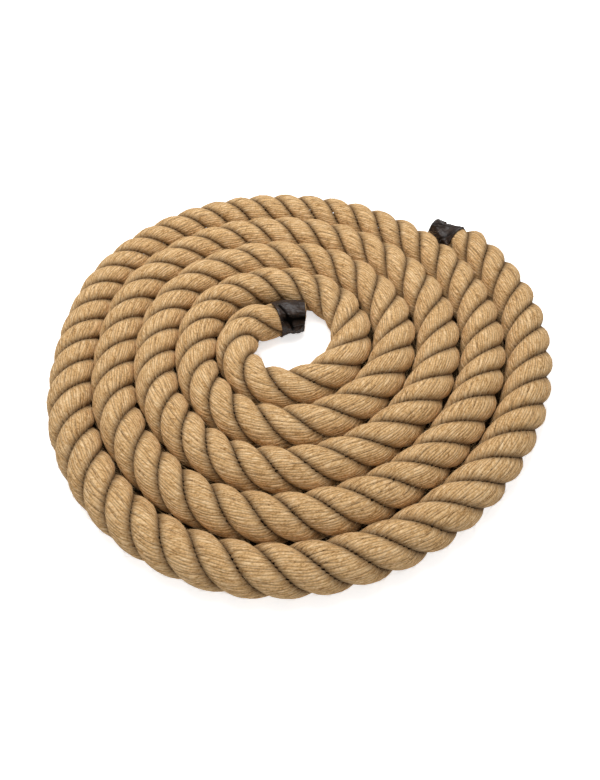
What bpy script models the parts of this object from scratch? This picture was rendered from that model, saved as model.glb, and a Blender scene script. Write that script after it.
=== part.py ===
"""Jute rope in a flat coil.

Three strands are laid right-handed round each other and lie wound in one flat layer, from an inner cut end
outwards, anticlockwise seen from above. Black tape binds both cut ends. Metres, +Z up, the floor at z = 0.
"""

import math

import bmesh
import bpy
import numpy as np
from mathutils import Matrix, Vector

OBJECT_NAME = "jute_rope"

# Rope
ROPE_DIAMETER = 0.036
LAY_LENGTH = 0.0799
STRAND_COUNT = 3
STRAND_GAP = 0.0003
FIRST_STRAND_ANGLE = math.radians(-65)

# Handling has slipped the strands round each other to and fro: the length of each swing along the rope, the
# strands' turn at its peak, and the length from the inner end at which it peaks
LAY_SWINGS = (
    (3.26, math.radians(78), 0.413),
    (1.39, math.radians(24), 0.178),
    (0.83, math.radians(10), 0.679),
    (0.575, math.radians(10), 0.193),
)

# The inner end has lost some of its twist, which comes back along the rope
LOOSE_SHARE = 0.22
LOOSE_REACH = 0.110

# Coil: the distance of its tangent from the middle grows by one pitch a turn, and a drift, an oval, corners and
# a dent give the hand-wound shape, each as it is on the last turn
TURN_GAP = 0.0016
EYE_SIZE = 0.0236
INNER_TUCK = 0.033
TUCKED_TURNS = 0.55
DRIFT_SIZE = 0.0020
DRIFT_ANGLE = math.radians(17)
OVAL_SIZE = 0.0009
OVAL_ANGLE = math.radians(-16)
CORNER_SIZE = 0.0037
CORNER_ANGLE = math.radians(11.5)
DENT_SIZE = 0.0055
DENT_ANGLE = math.radians(178)
DENT_REACH = math.radians(15)
SHAPED_TURNS = 5
START_ANGLE = math.radians(103)
END_ANGLE = math.radians(1843)
STRAIGHT_END = 0.0435

# Tape on the cut ends
TAPE_WIDTH = 0.028
TAPE_WALL = 0.0009
TAPE_CLEARANCE = 0.0006
STRAND_PROUD = 0.0006
INNER_SQUEEZE_SHARE = 0.24
OUTER_SQUEEZE_SHARE = 0.38
END_RAMP = 0.040

# The rope's own weight flattens its lowest fibres, a tenth of a strand's diameter deep
SEAT_SHARE = 0.1

# Fineness, with half the step in the tight bend by the inner end
POINTS_PER_LAY = 8
BEND_REACH = 0.110
COIL_STEPS_PER_TURN = 720
PIECES_PER_SEGMENT = 4
TAPE_RINGS = 10
TAPE_POINTS_AROUND = 33
CORNER_STEPS = 12
CUTTER_SIDES = 48
FIT_PASSES = 14
ROUNDING = 1
WELD_DISTANCE = 1e-6
SHARP_ANGLE = math.radians(50)

ROPE_RADIUS = ROPE_DIAMETER / 2
TURN_PITCH = ROPE_DIAMETER + TURN_GAP
END_OVERRUN = ROPE_RADIUS / 2
ONE_TURN_AWAY = 2 * ROPE_DIAMETER
JUTE = {"colour": (0.42, 0.25, 0.11, 1.0), "roughness": 0.9}
TAPE = {"colour": (0.012, 0.010, 0.010, 1.0), "roughness": 0.32}


def ease(share):
    """Rises smoothly from 0 to 1 as the share does."""
    held = np.clip(share, 0.0, 1.0)
    return held * held * (3 - 2 * held)


def coil_points(angle):
    """Points of the coil's middle line whose outward normals stand at these angles.

    The tangent there lies a size away from the middle, and the point is size along the normal plus the size's
    own slope along the tangent, so neighbouring turns lie one pitch apart wherever the shape is steady.
    """
    turns = angle / (2 * math.pi)
    shape = np.zeros_like(angle)
    shape_slope = np.zeros_like(angle)
    for order, size, turned in (
        (1, DRIFT_SIZE, DRIFT_ANGLE),
        (2, OVAL_SIZE, OVAL_ANGLE),
        (3, CORNER_SIZE, CORNER_ANGLE),
    ):
        shape += size * np.cos(order * (angle - turned))
        shape_slope -= size * order * np.sin(order * (angle - turned))
    from_dent = ((angle - DENT_ANGLE + math.pi) % (2 * math.pi) - math.pi) / DENT_REACH
    dent = DENT_SIZE * np.exp(-(from_dent**2))
    shape -= dent
    shape_slope += 2 * dent * from_dent / DENT_REACH
    tucked = np.clip(1 - turns / TUCKED_TURNS, 0, None)
    tuck = INNER_TUCK * tucked**2
    tuck_slope = -INNER_TUCK * tucked / (math.pi * TUCKED_TURNS)
    size = EYE_SIZE + TURN_PITCH * turns + shape * turns / SHAPED_TURNS - tuck
    slope = (TURN_PITCH + shape / SHAPED_TURNS) / (2 * math.pi) + shape_slope * turns / SHAPED_TURNS - tuck_slope
    normal = np.stack([np.cos(angle), np.sin(angle)], axis=1)
    tangent = np.stack([-np.sin(angle), np.cos(angle)], axis=1)
    return size[:, None] * normal + slope[:, None] * tangent


class MiddleLine:
    """The rope's middle line on the floor plan, by length from the inner cut end, straight near that end.

    Its plan is moved so that the coil lies centred on the origin.
    """

    def __init__(self):
        count = int(COIL_STEPS_PER_TURN * (END_ANGLE - START_ANGLE) / (2 * math.pi)) + 1
        self.angles = np.linspace(START_ANGLE, END_ANGLE, count)
        points = coil_points(self.angles)
        self.points = points - (points.min(axis=0) + points.max(axis=0)) / 2
        steps = np.linalg.norm(np.diff(self.points, axis=0), axis=1)
        self.lengths = STRAIGHT_END + np.concatenate([[0.0], np.cumsum(steps)])
        self.length = self.lengths[-1]

    def at(self, along):
        """Places, tangents and outward normals, as arrays of 3-D vectors at floor level."""
        angle = np.interp(along, self.lengths, self.angles)
        tangent = np.stack([-np.sin(angle), np.cos(angle), np.zeros_like(angle)], axis=1)
        normal = np.stack([np.cos(angle), np.sin(angle), np.zeros_like(angle)], axis=1)
        place = np.stack([np.interp(along, self.lengths, self.points[:, axis]) for axis in (0, 1)], axis=1)
        place = np.concatenate([place, np.zeros((len(angle), 1))], axis=1)
        before = np.minimum(along - self.lengths[0], 0.0)
        after = np.maximum(along - self.length, 0.0)
        return place + (before + after)[:, None] * tangent, tangent, normal


def lay_angle(along):
    """How far the strands have turned round the rope at a length from the inner end."""
    slack = LOOSE_SHARE * LOOSE_REACH * (1 - np.exp(-np.maximum(along, 0.0) / LOOSE_REACH))
    swung = np.zeros_like(along)
    for length, turned, peak in LAY_SWINGS:
        swung += turned * np.cos(2 * math.pi * (along - peak) / length)
    return FIRST_STRAND_ANGLE + 2 * math.pi / LAY_LENGTH * (along - slack) + swung


def taped(along, length):
    """1 inside the tape at either end, easing to 0 along the rope's next stretch."""
    from_end = np.minimum(along, length - along)
    return 1 - ease((from_end - TAPE_WIDTH) / END_RAMP)


class Rope:
    """The laid rope: where each strand's middle runs for a given strand radius."""

    def __init__(self, line, strand_radius):
        self.line = line
        self.strand_radius = strand_radius
        self.helix_radius = ROPE_RADIUS - strand_radius
        self.rest_height = ROPE_RADIUS - SEAT_SHARE * 2 * strand_radius

    def squeeze(self, along):
        """The rope's size here as a share of its full size: the tape draws both ends in, towards the cut."""
        reach = TAPE_WIDTH + END_RAMP
        inner = INNER_SQUEEZE_SHARE * (1 - ease(along / reach))
        outer = OUTER_SQUEEZE_SHARE * (1 - ease((self.line.length - along) / reach))
        return 1 - inner - outer

    def height(self, along):
        """The middle's height: the rope rests on its flattened crowns, and at its ends on the tape."""
        on_tape = self.squeeze(along) * ROPE_RADIUS + TAPE_CLEARANCE + TAPE_WALL
        return self.rest_height + (on_tape - self.rest_height) * taped(along, self.line.length)

    def offsets(self, along, angle, reach):
        """Points at an angle round the rope, from outwards towards the floor, and a reach from its middle."""
        place, _, normal = self.line.at(along)
        place[:, 2] = self.height(along)
        up = np.array([0.0, 0.0, 1.0])
        return place + reach[:, None] * (np.cos(angle)[:, None] * normal - np.sin(angle)[:, None] * up)

    def strand(self, number, along):
        angle = lay_angle(along) + 2 * math.pi * number / STRAND_COUNT
        return self.offsets(along, angle, self.helix_radius * self.squeeze(along))

    def fine_routes(self, along):
        """Lengths along the rope, the strands' middles and their squeeze, at points between the stations too."""
        shares = np.linspace(0, len(along) - 1, (len(along) - 1) * PIECES_PER_SEGMENT + 1)
        whole = np.arange(len(along))
        fine = np.interp(shares, whole, along)
        routes = []
        for number in range(STRAND_COUNT):
            points = self.strand(number, along)
            routes.append(np.stack([np.interp(shares, whole, points[:, axis]) for axis in range(3)], axis=1))
        return fine, routes, self.squeeze(fine)

    def strand_room(self, along):
        """The radius at full size with which two neighbouring strands would just keep the strand gap."""
        _, routes, squeeze = self.fine_routes(along)
        least = math.inf
        for shift in range(POINTS_PER_LAY * PIECES_PER_SEGMENT // 2):
            ahead, behind = slice(shift, None), slice(None, len(squeeze) - shift)
            for number in range(STRAND_COUNT):
                one, other = routes[number], routes[number - 1]
                share = squeeze[ahead] + squeeze[behind]
                for first, second in ((one[ahead], other[behind]), (other[ahead], one[behind])):
                    apart = np.linalg.norm(first - second, axis=1)
                    least = min(least, ((apart - STRAND_GAP) / share).min())
        return least


def stations(line):
    """Lengths along the rope at which strands have a point, running past both cuts."""
    first, last = -END_OVERRUN, line.length + END_OVERRUN
    step = LAY_LENGTH / POINTS_PER_LAY
    bend = np.linspace(first, BEND_REACH, math.ceil(2 * (BEND_REACH - first) / step), endpoint=False)
    rest = np.linspace(BEND_REACH, last, math.ceil((last - BEND_REACH) / step) + 1)
    return np.concatenate([bend, rest])


def fitted_rope(line):
    """The rope with the thickest strands that leave the strand gap to each other."""
    along = stations(line)
    radius = ROPE_RADIUS / STRAND_COUNT
    for _ in range(FIT_PASSES):
        radius = (radius + Rope(line, radius).strand_room(along)) / 2
    return Rope(line, radius)


def make_collection(name):
    collection = bpy.data.collections.new(name)
    bpy.context.scene.collection.children.link(collection)
    return collection


def make_material(name, finish):
    material = bpy.data.materials.new(name)
    material.use_nodes = True
    shader = material.node_tree.nodes["Principled BSDF"]
    shader.inputs["Base Color"].default_value = finish["colour"]
    shader.inputs["Roughness"].default_value = finish["roughness"]
    shader.inputs["Metallic"].default_value = 0.0
    return material


def add_object(name, mesh, collection, material=None):
    piece = bpy.data.objects.new(name, mesh)
    collection.objects.link(piece)
    if material:
        mesh.materials.append(material)
        mesh.shade_smooth()
        mesh.set_sharp_from_angle(angle=SHARP_ANGLE)
    return piece


def tube(name, points, radii, radius, collection, material):
    """A faceted tube with closed ends along the points, as a mesh."""
    curve = bpy.data.curves.new(name, "CURVE")
    curve.dimensions = "3D"
    curve.bevel_depth = radius
    curve.bevel_resolution = ROUNDING
    curve.use_fill_caps = True
    spline = curve.splines.new("POLY")
    spline.points.add(len(points) - 1)
    spline.points.foreach_set("co", np.column_stack([points, np.ones(len(points))]).ravel())
    spline.points.foreach_set("radius", radii)
    source = bpy.data.objects.new(name + "_route", curve)
    collection.objects.link(source)
    mesh = bpy.data.meshes.new_from_object(source.evaluated_get(bpy.context.evaluated_depsgraph_get()))
    bpy.data.objects.remove(source)
    shell = bmesh.new()
    shell.from_mesh(mesh)
    bmesh.ops.remove_doubles(shell, verts=shell.verts, dist=WELD_DISTANCE)
    bmesh.ops.recalc_face_normals(shell, faces=shell.faces)
    shell.to_mesh(mesh)
    shell.free()
    mesh.name = name
    mesh.materials.clear()
    return add_object(name, mesh, collection, material)


def hull_reach(angle, helix_radius, strand_radius, slant):
    """The reach of a band stretched over the strands, by the angle of its normal from the nearest crown.

    Each strand shows in the rope's cross-section as an ellipse, wider round the rope by the slant. The band's
    tangent lies a size away from the rope's middle. Returned are that size and its slope.
    """
    wide = strand_radius * slant
    ellipse = np.hypot(strand_radius * np.cos(angle), wide * np.sin(angle))
    size = helix_radius * np.cos(angle) + ellipse
    slope = -helix_radius * np.sin(angle) + (wide**2 - strand_radius**2) * np.sin(angle) * np.cos(angle) / ellipse
    return size, slope


def evenly_spaced(ring, count):
    """Points at equal steps round a closed line."""
    closed = np.concatenate([ring, ring[:1]])
    travelled = np.concatenate([[0.0], np.cumsum(np.linalg.norm(np.diff(closed, axis=0), axis=1))])
    steps = np.linspace(0, travelled[-1], count, endpoint=False)
    return np.stack([np.interp(steps, travelled, closed[:, axis]) for axis in range(3)], axis=1)


def band_ring(rope, along, offset):
    """One ring of a band round the rope at a length, an offset outside the strands."""
    here = np.array([along])
    place, _, normal = rope.line.at(here)
    squeeze = float(rope.squeeze(here)[0])
    step = rope.strand_radius / STRAND_COUNT
    twist = float((lay_angle(here + step) - lay_angle(here - step))[0]) / (2 * step)
    slant = math.hypot(1, twist * rope.helix_radius * squeeze)
    half = math.pi / STRAND_COUNT
    local = np.linspace(-half, half, CORNER_STEPS)
    size, slope = hull_reach(local, rope.helix_radius * squeeze, rope.strand_radius * squeeze, slant)
    size = size + offset
    ring = []
    for number in range(STRAND_COUNT):
        angle = float(lay_angle(here)[0]) + 2 * math.pi * number / STRAND_COUNT + local
        outwards = size * np.cos(angle) - slope * np.sin(angle)
        down = size * np.sin(angle) + slope * np.cos(angle)
        ring.append(place + outwards[:, None] * normal - down[:, None] * np.array([0.0, 0.0, 1.0]))
    ring = evenly_spaced(np.concatenate(ring), TAPE_POINTS_AROUND)
    ring[:, 2] += float(rope.height(here)[0])
    return ring


def tape_sleeve(name, rope, first, last, collection, material):
    """Tape pulled tight over the strands, a sleeve that twists with them and is open at both ends."""
    lengths = np.linspace(first, last, TAPE_RINGS)
    outside = [band_ring(rope, along, TAPE_CLEARANCE + TAPE_WALL) for along in lengths]
    inside = [band_ring(rope, along, TAPE_CLEARANCE) for along in lengths[::-1]]
    rings = np.array(outside + inside)
    count, around = rings.shape[:2]
    index = np.arange(count * around).reshape(count, around)
    after = np.roll(index, -1, axis=0)
    faces = np.stack([index, np.roll(index, -1, axis=1), np.roll(after, -1, axis=1), after], axis=-1)
    mesh = bpy.data.meshes.new(name)
    mesh.from_pydata(rings.reshape(-1, 3).tolist(), [], faces.reshape(-1, 4).tolist())
    shell = bmesh.new()
    shell.from_mesh(mesh)
    bmesh.ops.recalc_face_normals(shell, faces=shell.faces)
    shell.to_mesh(mesh)
    shell.free()
    return add_object(name, mesh, collection, material)


def hide_cutter(cutter):
    cutter.display_type = "WIRE"
    cutter.hide_render = True
    return cutter


def floor_cutter(rope, collection):
    """A slab below the floor, wider than the coil, that flattens what would hang below it."""
    reach = float(np.abs(rope.line.points).max()) + ROPE_DIAMETER
    shape = bmesh.new()
    bmesh.ops.create_cube(shape, size=1.0)
    bmesh.ops.scale(shape, vec=(2 * reach, 2 * reach, ROPE_RADIUS), verts=shape.verts)
    bmesh.ops.translate(shape, vec=(0, 0, -ROPE_RADIUS / 2), verts=shape.verts)
    mesh = bpy.data.meshes.new("floor_cutter")
    shape.to_mesh(mesh)
    shape.free()
    return hide_cutter(add_object("floor_cutter", mesh, collection))


def end_cutter(name, rope, along, outwards, collection):
    """A cylinder past a cut end, one face of which is the plane of the cut."""
    here = np.array([along])
    place, tangent, _ = rope.line.at(here)
    axis = Vector(tangent[0]) * outwards
    depth = 2 * END_OVERRUN
    shape = bmesh.new()
    bmesh.ops.create_cone(
        shape,
        cap_ends=True,
        segments=CUTTER_SIDES,
        radius1=ROPE_RADIUS + STRAND_GAP,
        radius2=ROPE_RADIUS + STRAND_GAP,
        depth=depth,
    )
    mesh = bpy.data.meshes.new(name)
    shape.to_mesh(mesh)
    shape.free()
    cutter = add_object(name, mesh, collection)
    centre = Vector(place[0]) + axis * depth / 2 + Vector((0, 0, float(rope.height(here)[0])))
    cutter.matrix_world = Matrix.Translation(centre) @ axis.to_track_quat("Z", "Y").to_matrix().to_4x4()
    return hide_cutter(cutter)


def cut(piece, cutters):
    for cutter in cutters:
        boolean = piece.modifiers.new(cutter.name, "BOOLEAN")
        boolean.operation = "DIFFERENCE"
        boolean.solver = "EXACT"
        boolean.object = cutter


def least_gap_between_turns(rope, along):
    """The least gap between strands in two turns, measured on points of all the strands' middles."""
    fine, routes, squeeze = rope.fine_routes(along)
    radii = rope.strand_radius * squeeze
    least = math.inf
    for first in np.flatnonzero((fine >= 0) & (fine <= rope.line.length)):
        later = (fine > fine[first] + ONE_TURN_AWAY) & (fine <= rope.line.length)
        for one in routes:
            for other in routes:
                apart = np.linalg.norm(other[later] - one[first], axis=1) - radii[later] - radii[first]
                least = min(least, apart.min(initial=least))
    return least


def main():
    for leftover in list(bpy.data.objects):
        bpy.data.objects.remove(leftover)
    parts, cutters = make_collection(OBJECT_NAME), make_collection("cutters")
    jute, tape = make_material("jute", JUTE), make_material("binding_tape", TAPE)
    rope = fitted_rope(MiddleLine())
    length = rope.line.length
    along = stations(rope.line)
    ends = [
        end_cutter("inner_end_cutter", rope, 0.0, -1, cutters),
        end_cutter("outer_end_cutter", rope, length, 1, cutters),
    ]
    floor = floor_cutter(rope, cutters)
    for number in range(STRAND_COUNT):
        strand = tube(
            f"strand_{number + 1}",
            rope.strand(number, along),
            rope.squeeze(along),
            rope.strand_radius,
            parts,
            jute,
        )
        cut(strand, [floor] + ends)
    tape_sleeve("inner_end_tape", rope, STRAND_PROUD, STRAND_PROUD + TAPE_WIDTH, parts, tape)
    tape_sleeve("outer_end_tape", rope, length - STRAND_PROUD - TAPE_WIDTH, length - STRAND_PROUD, parts, tape)
    print(f"rope length {length:.3f} m, strand diameter {2000 * rope.strand_radius:.2f} mm")
    print(f"room for a strand diameter of {2000 * rope.strand_room(along):.2f} mm at gap {1000 * STRAND_GAP:.2f} mm")
    print(f"least gap between turns {1000 * least_gap_between_turns(rope, along):.2f} mm")


main()
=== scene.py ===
"""Looks of the coiled jute rope.

Three strands of jute yarn, laid right-handed round each other, lie wound in one flat layer, with black tape
round both cut ends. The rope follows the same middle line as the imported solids. Metres, +Z up, floor at z = 0.
"""

import logging
import math
from dataclasses import dataclass, field
from enum import Enum
from functools import cached_property

import bpy
import numpy as np
from mathutils import Matrix, Vector


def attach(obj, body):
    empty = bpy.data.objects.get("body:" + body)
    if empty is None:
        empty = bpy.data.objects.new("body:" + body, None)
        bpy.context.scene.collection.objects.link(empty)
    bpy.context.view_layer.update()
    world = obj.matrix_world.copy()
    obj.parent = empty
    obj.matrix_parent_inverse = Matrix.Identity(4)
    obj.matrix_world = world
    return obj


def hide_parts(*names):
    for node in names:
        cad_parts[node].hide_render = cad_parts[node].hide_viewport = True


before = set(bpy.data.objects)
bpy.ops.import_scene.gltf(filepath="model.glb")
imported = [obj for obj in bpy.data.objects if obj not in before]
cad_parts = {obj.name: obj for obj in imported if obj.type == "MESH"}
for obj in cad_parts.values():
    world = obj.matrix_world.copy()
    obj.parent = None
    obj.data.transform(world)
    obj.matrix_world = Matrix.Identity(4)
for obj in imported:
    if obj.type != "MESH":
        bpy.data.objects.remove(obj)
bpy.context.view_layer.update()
LOG = logging.getLogger("jute_rope")

MM = 0.001
TURN = 2 * math.pi
STRANDS = 3
NUDGE = 1e-6
NEVER_ZERO = 1e-9
UP = np.array([0.0, 0.0, 1.0])
Array = np.ndarray
Rng = np.random.Generator
Tree, Node, Socket = bpy.types.NodeTree, bpy.types.Node, bpy.types.NodeSocket
Mesh, Material, Piece = bpy.types.Mesh, bpy.types.Material, bpy.types.Object


class RopeEnd(Enum):
    """Which cut end of the rope."""

    INNER = "inner"
    OUTER = "outer"


class Shading(Enum):
    """How a piece's faces take light."""

    SMOOTH = "smooth"
    FACETED = "faceted"


def linear(colour: str) -> tuple[float, float, float, float]:
    """Turns an sRGB hex colour to linear light.

    Args:
        colour: six hex digits after a hash.

    Returns:
        Red, green, blue and an alpha of 1.
    """
    parts = [int(colour[first : first + 2], 16) / 255 for first in (1, 3, 5)]
    red, green, blue = (part / 12.92 if part <= 0.04045 else ((part + 0.055) / 1.055) ** 2.4 for part in parts)
    return red, green, blue, 1.0


def ease(share: Array) -> Array:
    """Rises smoothly from 0 to 1 as the share does, by 3s squared less 2s cubed."""
    held = np.clip(share, 0.0, 1.0)
    return held * held * (3 - 2 * held)


def pressed(reach: Array, limit: Array | float, give: float) -> Array:
    """Holds a reach at a limit, as fibres do that are pressed on something.

    The reach is kept up to one give below the limit. From there it bends along a parabola that lies down on the
    limit one give past it.

    Args:
        reach: how far the free surface would go.
        limit: how far it may go.
        give: over what length the pressing sets in.

    Returns:
        The pressed reach.
    """
    over = np.clip(reach - (limit - give), 0.0, 2 * give)
    return np.minimum(reach, limit + give) - over**2 / (4 * give)


def slow_noise(rng: Rng, rows: int, place: Array, step: float, reach: float) -> Array:
    """Random rows that change smoothly along a length, joined by ease between values one step apart.

    Args:
        rng: the source of the random values.
        rows: how many rows.
        place: lengths at which the rows are wanted, from 0 up to the reach.
        step: distance between two random values.
        reach: the greatest length.

    Returns:
        An array of rows by places, of about unit size.
    """
    knots = rng.standard_normal((rows, int(reach / step) + 3))
    position = np.clip(place / step, 0, knots.shape[1] - 2)
    before = position.astype(int)
    share = ease(position - before)
    return knots[:, before] * (1 - share) + knots[:, before + 1] * share


@dataclass(frozen=True)
class CoilRoute:
    """The rope's middle line on the floor plan, by length from the inner cut end.

    The line is given by its tangents: the tangent whose outward normal stands at an angle lies a size away from
    the coil's middle. The size grows by one pitch a turn, so neighbouring turns are parallel curves.
    """

    turn_pitch: float = 37.6 * MM
    eye_size: float = 23.6 * MM
    inner_tuck: float = 33.0 * MM
    tucked_turns: float = 0.55
    swells: tuple[tuple[int, float, float], ...] = (
        (1, 2.0 * MM, math.radians(17)),
        (2, 0.9 * MM, math.radians(-16)),
        (3, 3.7 * MM, math.radians(11.5)),
    )
    dent_size: float = 5.5 * MM
    dent_angle: float = math.radians(178)
    dent_reach: float = math.radians(15)
    swelled_turns: float = 5.0
    start_angle: float = math.radians(103)
    end_angle: float = math.radians(1843)
    straight_end: float = 43.5 * MM
    steps_per_turn: int = 720

    def size(self, angle: Array) -> tuple[Array, Array]:
        """How far the tangents lie from the middle: pitch times turns, with the winding's shape and less the tuck.

        The shape is what hand winding adds to the last turn: the swells' cosines less the dent, a bell.

        Args:
            angle: angles of the outward normal.

        Returns:
            The sizes, and their slopes by angle, worked out term by term.
        """
        turns = angle / TURN
        from_dent = ((angle - self.dent_angle + math.pi) % TURN - math.pi) / self.dent_reach
        dent = self.dent_size * np.exp(-(from_dent**2))
        shape = sum(size * np.cos(order * (angle - turned)) for order, size, turned in self.swells) - dent
        bend = -sum(size * order * np.sin(order * (angle - turned)) for order, size, turned in self.swells)
        bend = bend + 2 * dent * from_dent / self.dent_reach
        left = np.clip(1 - turns / self.tucked_turns, 0, None)
        size = self.eye_size + self.turn_pitch * turns + shape * turns / self.swelled_turns
        slope = (self.turn_pitch + shape / self.swelled_turns) / TURN + bend * turns / self.swelled_turns
        tuck_slope = -2 * self.inner_tuck * left / (self.tucked_turns * TURN)
        return size - self.inner_tuck * left**2, slope - tuck_slope

    @cached_property
    def table(self) -> tuple[Array, Array, Array, Array]:
        """The line worked out at even angles: each point is size times normal plus slope times tangent.

        Returns:
            Angles, plan points about the origin, lengths from the inner end, and the centre taken off.
        """
        count = int(self.steps_per_turn * (self.end_angle - self.start_angle) / TURN) + 1
        angles = np.linspace(self.start_angle, self.end_angle, count)
        normal = np.stack([np.cos(angles), np.sin(angles)], axis=1)
        tangent = np.stack([-np.sin(angles), np.cos(angles)], axis=1)
        size, slope = self.size(angles)
        points = size[:, None] * normal + slope[:, None] * tangent
        centre = (points.min(axis=0) + points.max(axis=0)) / 2
        steps = np.linalg.norm(np.diff(points, axis=0), axis=1)
        lengths = self.straight_end + np.concatenate([[0.0], np.cumsum(steps)])
        return angles, points - centre, lengths, centre

    @property
    def length(self) -> float:
        """The rope's length."""
        return float(self.table[2][-1])

    def from_end(self, along: Array) -> Array:
        """How far lengths lie from the nearer cut end."""
        return np.minimum(along, self.length - along)

    def angle(self, along: Array) -> Array:
        """The angle of the outward normal at each length."""
        angles, _, lengths, _ = self.table
        return np.interp(along, lengths, angles)

    def at(self, along: Array) -> tuple[Array, Array, Array]:
        """Points of the middle line on the floor, with tangents and outward normals.

        Args:
            along: lengths from the inner end, in an array of any shape.

        Returns:
            Three arrays of that shape with a last axis of 3. Past its ends the line runs on straight.
        """
        _, points, lengths, _ = self.table
        angle = self.angle(along)
        flat = np.zeros_like(angle)
        tangent = np.stack([-np.sin(angle), np.cos(angle), flat], axis=-1)
        normal = np.stack([np.cos(angle), np.sin(angle), flat], axis=-1)
        place = np.stack([*(np.interp(along, lengths, points[:, axis]) for axis in (0, 1)), flat], axis=-1)
        past = np.minimum(along - lengths[0], 0.0) + np.maximum(along - lengths[-1], 0.0)
        return place + past[..., None] * tangent, tangent, normal

    def room(self, along: Array) -> tuple[Array, Array]:
        """How far the rope may reach before it meets the turns beside it, or a whole pitch where there is none.

        The room is half the difference to the size a turn on or a turn back, since the turns are parallel.

        Args:
            along: lengths from the inner end.

        Returns:
            The room outwards and inwards.
        """
        angle = self.angle(along)
        before, here, after = (self.size(angle + turn)[0] for turn in (-TURN, 0, TURN))
        return (
            np.where(angle + TURN < self.end_angle, (after - here) / 2, self.turn_pitch),
            np.where(angle - TURN > self.start_angle, (here - before) / 2, self.turn_pitch),
        )


@dataclass(frozen=True)
class Slant:
    """How a cut, or an edge round the rope or the tape, lies off square.

    It has a mean place along the rope, and is furthest from the cut end by its reach at one angle, in degrees. A
    lap's edge has both as shares of the tape's width.
    """

    mean: float = 0.0
    reach: float = 0.0
    angle: float = 0.0

    def at(self, angles: Array) -> Array:
        """Places along the rope by angle in radians, positive away from the cut."""
        return self.mean + self.reach * np.cos(angles - math.radians(self.angle))


@dataclass(frozen=True)
class Unevenness:
    """A slow random change along the rope: its name, size and length, and whether each yarn has its own."""

    name: str
    size: float
    step: float
    each_yarn: bool = True


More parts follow.
